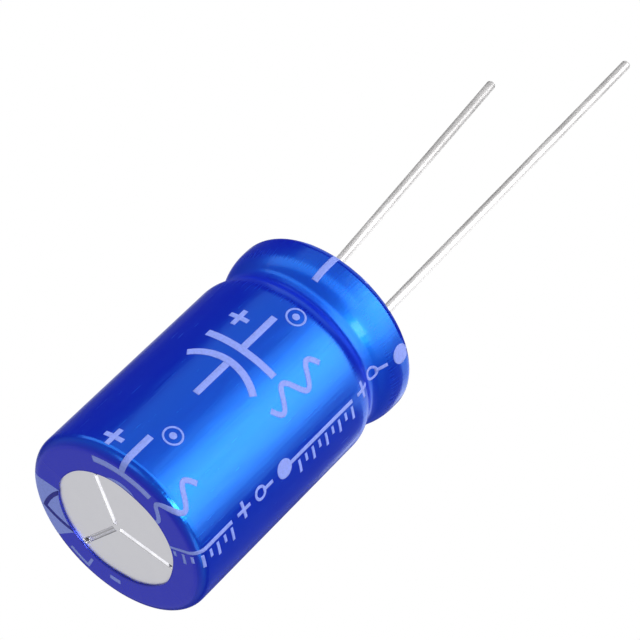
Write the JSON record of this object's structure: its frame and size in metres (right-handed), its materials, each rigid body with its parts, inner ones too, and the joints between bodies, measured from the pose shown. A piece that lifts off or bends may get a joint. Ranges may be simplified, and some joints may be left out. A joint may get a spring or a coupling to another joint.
{
  "type": "electrolytic capacitor",
  "caption": "Radial aluminium electrolytic capacitor: beaded can in shrink film, scored pressure vent, rubber bung and long tinned wire leads.",
  "frame": {"origin": "centre of the film lip on the vented end, in the plane that the part stands on", "axes": "+Z along the can's axis towards the leads; +X along the line of the leads, from cathode to anode"},
  "size_m": [0.0166, 0.0166, 0.0644],
  "materials": {
    "blue_film": "glossy heat-shrunk film over bright metal, with pale lavender print",
    "can_aluminium": "drawn aluminium, satin on the vent",
    "bung_rubber": "matt moulded rubber",
    "wound_paper": "soaked kraft paper and etched foil",
    "clear_tape": "clear polypropylene tape",
    "tab_aluminium": "bright pressed aluminium",
    "tinned_wire": "bright tin plate on drawn wire"
  },
  "bodies": {
    "root": {"shrink_sleeve": "blue_film", "aluminium_can": "can_aluminium", "rubber_bung": "bung_rubber", "wound_element": "wound_paper", "winding_tape": "clear_tape", "anode_tab": "tab_aluminium", "cathode_tab": "tab_aluminium", "anode_lead": "tinned_wire", "cathode_lead": "tinned_wire"}
  },
  "joints": []
}
